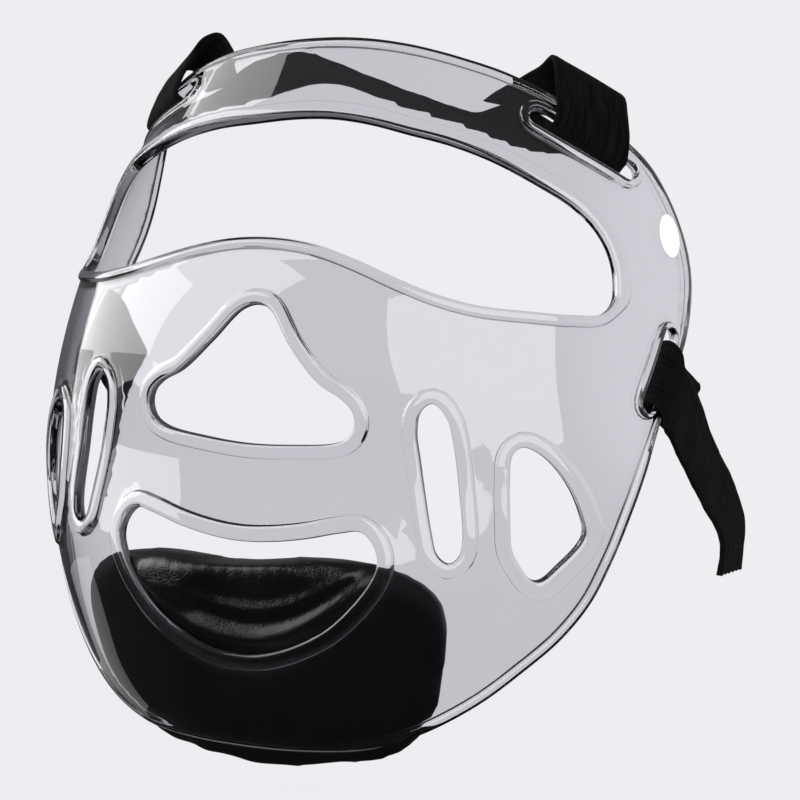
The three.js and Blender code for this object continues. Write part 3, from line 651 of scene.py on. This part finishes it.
def kept_behind(points):
    """Points moved in where they would cut the guard: 0.9 mm stays free behind the wall, and
    inside the mouth opening they may bulge by up to 3 mm more, the further from its edge."""
    degrees, level, out, normal = shell_place(points)
    mouth = smooth_loop(both_halves(MOUTH_HALF))
    free = inside(np.stack([degrees, level], -1), mouth)
    depth = np.zeros(len(points))
    rim = on_shell(mouth[:, 0], mouth[:, 1], np.full(len(mouth), -0.002))
    depth[free] = distances(points[free], rim)
    room = -HALF_WALL - 0.0009 + np.clip(depth - 0.0005, 0, 0.003)
    # below the guard's edge nothing holds the pad, so the limit fades out there
    over = np.clip((level + 0.012) / 0.024, 0, 1) * np.maximum(0, out - room)
    return points - normal * over[:, None]


def leathercloth():
    """Black satin leathercloth: cells of a fine pebble grain with creases between them, and a slow
    change of tone and gloss."""
    material, nodes, place = new_material("satin_leathercloth")
    warp = nodes.add("ShaderNodeTexNoise", Vector=place, Scale=320.0, Detail=2.0)
    bent = nodes.add("ShaderNodeMix", {"data_type": "VECTOR"}, _0=0.0012, _4=place, _5=warp.outputs[1])
    grain = nodes.add("ShaderNodeTexVoronoi", {"feature": "DISTANCE_TO_EDGE"},
                      Vector=bent.outputs[1], Scale=1150.0)
    crease = nodes.ranged(grain.outputs[0], 0.0, 0.22)
    slow = nodes.noise(place, 45.0, 3.0, 0.6)
    tint = nodes.blend(slow, (0.0010, 0.0010, 0.0012, 1), (0.0032, 0.0032, 0.0038, 1))
    rough = nodes.scaled(crease, -0.08, nodes.ranged(slow, 0.3, 0.7, 0.21, 0.29))
    relief = nodes.add("ShaderNodeBump", Strength=0.28, Distance=0.00016, Height=crease)
    soft = nodes.add("ShaderNodeBump", Strength=0.25, Distance=0.0008, Height=slow,
                     Normal=relief.outputs[0])
    shader = nodes.add("ShaderNodeBsdfPrincipled", Base_Color=tint, Roughness=rough,
                       Normal=soft.outputs[0], Specular_IOR_Level=0.29)
    nodes.add("ShaderNodeOutputMaterial", Surface=shader.outputs[0])
    return material


places, faces = build_pad(56, 150)
pad = make_mesh("pad_cushion", places, faces)
outward(pad)
swollen = stuffed(pad, voxel=0.0024, swell=2.5, cap=0.0010)
pad.data.vertices.foreach_set("co", swollen.ravel())
bpy.context.view_layer.objects.active = pad
finer = pad.modifiers.new("finer", "SUBSURF")
finer.levels = finer.render_levels = 1
bpy.ops.object.modifier_apply(modifier=finer.name)
pad.data.vertices.foreach_set("co", pad_folds(vertex_rows(pad.data)).ravel())
pad.data.update()
pad.data.shade_smooth()
pad.data.materials.append(leathercloth())
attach(pad, "root")
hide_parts("chin_pad")

# Straps: black brushed loop tape, woven flat and raised into a soft pile on its face, cut to
# length, the lower two with pinked ends. One crosses behind the forehead band from slot to slot,
# one is laid round the bar of each lower slot and hangs behind the cheek.
STRAP_THICKNESS = 0.00164
STRAP_STEP = 0.0007
STRAP_TOOTH = 0.0034
UPPER_WIDTH = 0.0236
LOWER_WIDTH = 0.0205
LAY = 0.00345  # height of a strap's middle over the guard's middle surface where it lies on it
# how far each lower strap runs on inside, and its tail's length
RIGHT_INNER, RIGHT_TAIL_LENGTH = 0.022, 0.075
LEFT_INNER, LEFT_TAIL_LENGTH = 0.034, 0.052
UPPER_FOLD = [
    # over the bar and along it as shares of the strap's width, lay as a share of LAY
    (0.339, -3.3, -0.339), (0.127, -1.8, 0), (0.013, -1, 0.042), (0.008, 0, 0.042),
    (0.034, 0.62, 0.042), (0.203, 1, -0.021), (0.415, 1.145, -0.127), (0.750, 0.9, -0.297),
    (0.860, 0.087, -0.339), (0.741, -1.174, -0.390),
]
FREE_END = [
    # degrees and level from the slot's middle, depth as a share of LAY
    (-6.1, 0.074, 1.638), (-10.2, 0.060, 1.812),
]
ARCH = [
    # along X as a share of the slots' distance, rise above and place behind the slots' middles
    (-0.78, 0.22, 0.40), (-0.56, 0.56, 0.42), (-0.37, 0.68, 0.36), (-0.20, 0.60, 0.33),
    (0.00, 0.44, 0.32), (0.27, 0.24, 0.32), (0.56, 0.06, 0.30),
]
LOWER_FOLD = [
    (0.215, -1, 0), (0.029, -0.55, 0), (0, 0.058, 0), (0.039, 0.62, -0.029), (0.176, 1, -0.117),
    (0.283, 1.087, -0.293),
]
RIGHT_TAIL = [
    # outward, rearward, upward as shares of the tail's length, width direction x, y, z
    (0.083, 0.045, -0.140, -0.08, 0.75, 0.66), (0.083, 0.131, -0.227, -0.10, 0.84, 0.53),
    (0.084, 0.222, -0.324, -0.12, 0.88, 0.45), (0.083, 0.365, -0.452, -0.13, 0.90, 0.42),
    (0.088, 0.457, -0.544, -0.15, 0.94, 0.30), (0.090, 0.514, -0.635, -0.16, 0.96, 0.20),
    (0.083, 0.513, -0.781, -0.17, 0.98, 0.02),
]
LEFT_TAIL = [
    (0.115, 0.090, -0.230, 0.08, 0.80, 0.59), (0.125, 0.130, -0.400, 0.28, 0.88, 0.37),
    (0.130, 0.100, -0.600, 0.40, 0.90, 0.15), (0.125, 0.060, -0.800, 0.42, 0.90, -0.08),
    (0.115, 0.030, -1.000, 0.42, 0.90, -0.12),
]


def slot_axes(slot):
    """Middle of a slot and its axes: along it, out of the shell, and over across its bar."""
    (degrees, level), (turn, climb) = slot
    ends = shell_middle(degrees + np.array([-0.4, 0.4]) * turn, level + np.array([-0.4, 0.4]) * climb)
    along = unit(ends[1] - ends[0])
    out = shell_steps(degrees, level)[2]
    out = unit(out - along * (out @ along))
    middle = (ends.mean(0) + shell_middle(degrees, level)) / 2 - BROW
    return middle, along, out, np.cross(out, along)


def open_curve(knots, t):
    """Curve of cubics through open knots, at parameters t that run 0 to 1 evenly over its
    stretches, with a knot mirrored on at each end."""
    knots = np.array(knots, float)
    padded = np.vstack([2 * knots[0] - knots[1], knots, 2 * knots[-1] - knots[-2]])
    spot = np.clip(t, 0, 1) * (len(knots) - 1)
    i = np.minimum(spot.astype(int), len(knots) - 2)
    w = (spot - i)[:, None]
    p0, p1, p2, p3 = (padded[i + k] for k in range(4))
    return cubic(p1, p2, *tangents(p0, p1, p2, p3, least=1e-9), w)


def band(name, stops, width, seed, pinked):
    """A flat band: a rounded section carried along the curve through the stops at an even step,
    its width direction from the same curve. Its edges wander by under a tenth of a millimetre and
    its faces ripple by up to two tenths. Its ends have teeth of the height pinked."""
    columns = 23  # points across each face, with one more on each edge
    spots, sides = (np.array([stop[k] for stop in stops]) for k in (0, 1))
    fine = np.linspace(0, 1, 4000)
    path = open_curve(spots, fine)
    run = np.concatenate([[0], np.cumsum(np.linalg.norm(np.diff(path, axis=0), axis=1))])
    rings = int(run[-1] / STRAP_STEP)
    length = np.linspace(0, run[-1], rings)
    t = np.interp(length, run, fine)
    path = open_curve(spots, t)
    side = unit(open_curve(sides, t))
    ahead = unit(np.gradient(path, axis=0))
    face = unit(np.cross(ahead, side))
    over = np.linspace(-1, 1, columns)
    across = np.concatenate([over, [1.012], over[::-1], [-1.012]])
    up = np.concatenate([np.ones(columns), [0], -np.ones(columns), [0]])
    tight = np.clip((1 - np.abs(across)) / 0.05, 0, 1)**0.5
    thick = up * (0.62 + 0.38 * tight) * STRAP_THICKNESS / 2
    phase = np.random.default_rng(seed).uniform(0, 6.28, 8)
    s = length[:, None]
    wander = (np.sin(s * 210 + phase[0]) + np.sin(s * 565 + phase[1]) * 0.6) * 0.00005
    edge = across[None, :] * (width / 2) + np.abs(across)[None, :]**6 * np.sign(across) * wander
    ripple = (np.sin(s * 330 + across * 2.2 + phase[2]) * np.sin(s * 127 + phase[3]) * 0.00016
              + np.sin(s * 1250 + across * 5 + phase[4]) * 0.00003)
    tips = np.zeros((rings, len(across)))
    tooth = np.abs(((across * width / 2 / STRAP_TOOTH) % 1) - 0.5) * 2
    for end, way in ((0, 1), (rings - 1, -1)):
        near = np.clip(1 - np.abs(np.arange(rings) - end) / 6, 0, 1)[:, None]
        tips += way * near * tooth * pinked
    places = (path[:, None] + side[:, None] * edge[..., None] + face[:, None] * (thick + ripple)[..., None]
              + ahead[:, None] * tips[..., None])
    index, faces = ring_faces(places)
    last = 2 * columns  # of the back's points, the one behind the front's first
    for row, order in ((index[0].tolist(), 1), (index[-1].tolist(), -1)):
        cap = [[row[k], row[k + 1], row[last - 1 - k], row[last - k]] for k in range(columns - 1)]
        cap += [row[columns - 1:columns + 2], [row[last], row[last + 1], row[0]]]
        faces += [face[::order] for face in cap]
    piece = make_mesh(name, places.reshape(-1, 3), faces)
    layer = piece.data.uv_layers.new(name="cloth")
    flat = np.stack([np.broadcast_to(across * width / 2, places.shape[:2]),
                     np.broadcast_to(s, places.shape[:2])], -1).reshape(-1, 2)
    corners = np.empty(len(piece.data.loops), dtype=np.int32)
    piece.data.loops.foreach_get("vertex_index", corners)
    layer.data.foreach_set("uv", flat[corners].ravel())
    outward(piece)
    return piece


def at_bar(axes, rows, width):
    """Stops round a slot's bar, from shares of the strap's width over and along it."""
    middle, along, out, over = axes
    return [(middle + over * o * width + out * lay * LAY + along * a * width, along)
            for o, lay, a in rows]


def flipped(stops):
    """The same stops on the other side of the face."""
    return [(spot * (-1, 1, 1), side * (-1, 1, 1)) for spot, side in stops]


def upper_stops():
    """From the end inside on -X, back out round its bar, over the arch, and the same on +X. The
    arch's width lies nearly level in the middle and turns into the slots' own at its ends."""
    axes = slot_axes(UPPER_SLOT)
    middle, along = axes[:2]
    half = at_bar(axes, UPPER_FOLD, UPPER_WIDTH)
    for degrees, level, depth in FREE_END:
        d, v = np.array(UPPER_SLOT[0]) + (degrees, level)
        across = unit(shell_steps(d, v)[0])
        half.append((on_shell(d, v, -LAY * depth), unit(across * 0.7 + along * 0.3)))
    tilt = math.radians(20)
    level_way = np.array([0, math.cos(tilt), -math.sin(tilt)])
    arch = []
    for share, rise, behind in ARCH:
        spot = np.array([share, 1, 1]) * middle + np.array([0, behind, rise]) * UPPER_WIDTH
        own = along * (math.copysign(1, share), 1, 1)
        arch.append((spot, unit(level_way * (1 - share**2) + own * share**2)))
    return flipped(half)[::-1] + arch + half


def lower_stops(inner, tail, length):
    """From the inner end behind the bar, out through the slot, round the bar and down the tail."""
    middle, along, out, over = slot_axes(LOWER_SLOT)
    stops = [(middle - over * share * inner - out * (LAY + away * inner), along)
             for share, away in ((1, 0.08), (0.5, 0.02))]
    stops += at_bar((middle, along, out, -over), LOWER_FOLD, LOWER_WIDTH)
    stops += [(middle + np.array(row[:3]) * length, np.array(row[3:])) for row in tail]
    return stops


def loop_tape():
    """Brushed loop tape: a pile of tiny curls over a woven ground. Cells over a coarser noise give the
    curls, threads show as faint bars across the cloth, brushed streaks run along it, and lint
    lightens it in specks. A little sheen on the shader gives the soft edge light."""
    material, nodes, place = new_material("black_loop_tape")
    cloth = nodes.add("ShaderNodeUVMap", {"uv_map": "cloth"}).outputs[0]
    curls = nodes.add("ShaderNodeTexVoronoi", Vector=place, Scale=1500.0).outputs[0]
    tufts = nodes.noise(place, 620.0, 4.0, 0.7)
    streak = nodes.add("ShaderNodeMapping", Vector=cloth, Scale=(900.0, 90.0, 1.0)).outputs[0]
    brushed = nodes.ranged(nodes.noise(streak, 1.0, 3.0), 0.35, 0.72)
    threads = nodes.add("ShaderNodeTexWave", {"bands_direction": "Y"}, Vector=cloth, Scale=430.0,
                        Distortion=1.5, Detail=1.0).outputs[0]
    pile = nodes.scaled(threads, 0.12, nodes.scaled(curls, 0.6, tufts))
    tint = nodes.blend(brushed, (0.0008, 0.0008, 0.0010, 1), (0.0035, 0.0035, 0.0040, 1))
    lint = nodes.ranged(nodes.noise(place, 2300.0, 1.0), 0.72, 0.80)
    relief = nodes.add("ShaderNodeBump", Strength=0.75, Distance=0.0005, Height=pile)
    shader = nodes.add("ShaderNodeBsdfPrincipled", Roughness=0.95, Normal=relief.outputs[0],
                       Base_Color=nodes.blend(lint, tint, (0.015, 0.015, 0.016, 1)),
                       Specular_IOR_Level=0.04, Sheen_Weight=0.01, Sheen_Roughness=0.5)
    nodes.add("ShaderNodeOutputMaterial", Surface=shader.outputs[0])
    return material


tape = loop_tape()
right_stops = lower_stops(RIGHT_INNER, RIGHT_TAIL, RIGHT_TAIL_LENGTH)
left_stops = flipped(lower_stops(LEFT_INNER, LEFT_TAIL, LEFT_TAIL_LENGTH))
straps = [
    # node, piece, stops, width, seed of its waves, height of its teeth
    ("strap_upper", "tape_over_brow", upper_stops(), UPPER_WIDTH, 3, 0.0),
    ("strap_lower_right", "tape_right", right_stops, LOWER_WIDTH, 5, 0.0006),
    ("strap_lower_left", "tape_left", left_stops, LOWER_WIDTH, 7, 0.0006),
]
for node, name, stops, width, seed, pinked in straps:
    strap = band(name, stops, width, seed, pinked)
    strap.data.materials.append(tape)
    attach(strap, "root")
    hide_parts(node)

# Label: a small white vinyl sticker on the outside by the rear edge, an upright oval with a
# slightly domed face, left bare.
LABEL_MIDDLE = np.array([79.6, 0.745])  # degrees, level
LABEL_HALF_WIDTH = 0.0045
LABEL_HALF_HEIGHT = 0.0062
# heights over the wall's face
LABEL_BACK, LABEL_RIM, LABEL_CROWN = 0.00024, 0.00032, 0.00054


def build_label(rings, around):
    """A domed oval sheet: rings from its middle to its rim on the front, then back on its flat
    back. The front's height falls off with the sixth power of the share of the way out."""
    across, along, _ = shell_steps(*LABEL_MIDDLE)
    radius = np.array([LABEL_HALF_WIDTH / np.linalg.norm(across), LABEL_HALF_HEIGHT / np.linalg.norm(along)])
    inner = np.linspace(0.08, 1, rings)
    share = np.concatenate([inner, inner[::-1]])
    front = LABEL_RIM + (LABEL_CROWN - LABEL_RIM) * (1 - inner**6)
    out = HALF_WALL + np.concatenate([front, np.full(rings, LABEL_BACK)])
    turn = np.linspace(0, 2 * np.pi, around, endpoint=False)
    circle = np.stack([np.cos(turn), np.sin(turn)], -1)
    spots = LABEL_MIDDLE + share[:, None, None] * radius * circle
    rows = on_shell(spots[..., 0], spots[..., 1], np.broadcast_to(out[:, None], spots.shape[:2]))
    index, faces = ring_faces(rows)
    faces += [index[0].tolist(), index[-1][::-1].tolist()]
    piece = make_mesh("sticker", rows.reshape(-1, 3), faces)
    outward(piece)
    return piece


def white_vinyl(marks):
    """White vinyl: faint mottling, scuffs that dull it, and a fine orange-peel bump."""
    material, nodes, place = new_material("white_vinyl")
    hairlines, smears = nodes.add("ShaderNodeGroup", {"node_tree": marks}, Vector=place, Scale=210.0).outputs
    relief = nodes.add("ShaderNodeBump", Strength=0.12, Distance=0.0001,
                       Height=nodes.noise(place, 1400.0, 1.0))
    shader = nodes.add("ShaderNodeBsdfPrincipled", Roughness=nodes.scaled(hairlines, 0.2, 0.38),
                       Base_Color=nodes.blend(smears, (0.90, 0.90, 0.90, 1), (0.82, 0.82, 0.83, 1)),
                       Normal=relief.outputs[0])
    nodes.add("ShaderNodeOutputMaterial", Surface=shader.outputs[0])
    return material


sticker = build_label(8, 64)
sticker.data.materials.append(white_vinyl(handling_marks))
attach(sticker, "root")
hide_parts("label")

# Camera: level with the cheeks, thirty-one degrees round to the right, a long lens from 1.6 m,
# rolled by three degrees so that the guard leans as it was photographed.
PIXELS = 5589.8  # focal length in pixels of the photograph
FRAME = 800  # pixels, across and down
SENSOR = 36
TARGET_PIXEL = (367.29, 344.14)  # where the target shows
DISTANCE = 1.6057
azimuth, elevation, roll = (math.radians(value) for value in (30.90, 4.17, 3.02))
target = np.array([0, 0.01886, -0.07337])
right = np.array([math.cos(azimuth), math.sin(azimuth), 0])
back = np.array([math.sin(azimuth) * math.cos(elevation), -math.cos(azimuth) * math.cos(elevation),
                 math.sin(elevation)])
up = np.cross(back, right)
eye = target + back * DISTANCE
offset = FRAME / 2 - np.array(TARGET_PIXEL)
turned = np.array([offset[0] * math.cos(roll) + offset[1] * math.sin(roll),
                   -offset[0] * math.sin(roll) + offset[1] * math.cos(roll)])
aim = target + (turned[0] * right - turned[1] * up) * DISTANCE / PIXELS
rolled_up = math.cos(roll) * up - math.sin(roll) * right
back = unit(eye - aim)
right = unit(np.cross(rolled_up, back))
up = np.cross(back, right)
lens = bpy.data.cameras.new("view")
lens.sensor_width = SENSOR
lens.lens = SENSOR * PIXELS / FRAME
camera = bpy.data.objects.new("view", lens)
placing = np.eye(4)
placing[:3] = np.stack([right, up, back, eye], -1)
camera.matrix_world = Matrix(placing.tolist())
bpy.context.collection.objects.link(camera)
bpy.context.scene.camera = camera

# Studio: a round pale cove, floor and wall in one curve, with a large soft box on each side in
# front, a smaller one in the left one's middle, a low weak one at the left, an overhead lamp that
# fills the shadows, and a dim sky that the guard's gloss mirrors.
FLOOR = -0.62
COVE_FLOOR, COVE_RADIUS, COVE_HEIGHT = 2.5, 0.9, 3.2
GUARD_MIDDLE = Vector((0, 0, -0.08))


def build_cove(around):
    """A profile of floor, quarter circle and upright wall, turned round the Z axis."""
    arc = np.linspace(0, np.pi / 2, 24)
    away = np.concatenate([[0.6, 1.4], COVE_FLOOR + COVE_RADIUS * np.sin(arc), [COVE_FLOOR + COVE_RADIUS]])
    high = np.concatenate([[0, 0], COVE_RADIUS * (1 - np.cos(arc)), [COVE_HEIGHT]])
    turn = np.linspace(0, 2 * np.pi, around, endpoint=False)
    rows = np.stack([away[:, None] * np.sin(turn), -away[:, None] * np.cos(turn),
                     np.broadcast_to(FLOOR + high[:, None], (len(away), around))], -1)
    index, faces = ring_faces(rows)
    return make_mesh("cove", rows.reshape(-1, 3), faces + [index[0][::-1].tolist()])


def backlit_paper():
    """Matt pale paper with the faintest mottling, lit through so that it stays even all round. The
    guard's gloss looks past it to the studio, so that only the lamps show as reflections."""
    material, nodes, place = new_material("pale_paper")
    tint = nodes.blend(nodes.noise(place, 3.0, 2.0), (0.070, 0.070, 0.071, 1), (0.085, 0.085, 0.086, 1))
    shader = nodes.add("ShaderNodeBsdfPrincipled", Base_Color=tint, Roughness=1.0, Specular_IOR_Level=0.0,
                       Emission_Color=(0.97, 0.975, 1.0, 1), Emission_Strength=0.80)
    ray = nodes.add("ShaderNodeLightPath")
    gone = nodes.add("ShaderNodeMath", {"operation": "GREATER_THAN"},
                     _0=ray.outputs["Glossy Depth"], _1=0.5)
    mix = nodes.add("ShaderNodeMixShader", _0=gone.outputs[0], _1=shader.outputs[0],
                    _2=nodes.add("ShaderNodeBsdfTransparent").outputs[0])
    nodes.add("ShaderNodeOutputMaterial", Surface=mix.outputs[0])
    material.cycles.emission_sampling = "NONE"
    return material


cove = build_cove(96)
cove.data.materials.append(backlit_paper())
cove.visible_glossy = False


def soft_box(name, azimuth_degrees, elevation_degrees, distance, size, radiance, mirrored_in):
    """A rectangular lamp that looks at the guard's middle from the given side; its power is its
    radiance times its area times pi."""
    a, e = math.radians(azimuth_degrees), math.radians(elevation_degrees)
    way = Vector((math.sin(a) * math.cos(e), -math.cos(a) * math.cos(e), math.sin(e)))
    data = bpy.data.lights.new(name, "AREA")
    data.shape = "RECTANGLE"
    data.size, data.size_y = size
    data.energy = radiance * size[0] * size[1] * math.pi
    lamp = bpy.data.objects.new(name, data)
    lamp.location = GUARD_MIDDLE + way * distance
    lamp.rotation_euler = way.to_track_quat("Z", "Y").to_euler()
    lamp.visible_camera = lamp.visible_transmission = False
    lamp.visible_glossy = mirrored_in
    bpy.context.collection.objects.link(lamp)


def dim_sky():
    """A sky that brightens from below the horizon to just above it, and towards the right rear."""
    world = bpy.data.worlds.new("studio")
    world.use_nodes = True
    nodes = Nodes(world.node_tree)
    way = nodes.add("ShaderNodeTexCoord").outputs["Generated"]
    height = nodes.add("ShaderNodeSeparateXYZ", _0=way).outputs["Z"]
    aside = nodes.add("ShaderNodeVectorMath", {"operation": "DOT_PRODUCT"}, _0=way, _1=(0.64, 0.77, 0))
    strength = nodes.scaled(nodes.ranged(height, -0.25, 0.15, 0.02, 0.22),
                            nodes.ranged(aside.outputs["Value"], 0.40, 0.85, 1.0, 4.4), 0.0)
    background = world.node_tree.nodes["Background"]
    nodes.feed(background.inputs["Color"], (0.95, 0.96, 1.0, 1))
    nodes.feed(background.inputs["Strength"], strength)
    return world


for lamp in [
    # name, degrees round from the front, degrees up, distance, width and height, radiance, mirrored
    ("box_right", 39, 21, 1.9, (2.56, 1.95), 3.3, True),
    ("box_left", -72, 20, 1.9, (2.25, 1.95), 3.2, True),
    ("box_left_core", -78, 16, 1.6, (1.3, 0.9), 2.8, True),
    ("low_left", -104, -24, 1.8, (0.9, 0.6), 0.6, True),
    ("overhead", 0, 84, 1.8, (1.6, 1.6), 1.2, False),
]:
    soft_box(*lamp)
bpy.context.scene.world = dim_sky()
bpy.context.scene.view_settings.view_transform = "Standard"
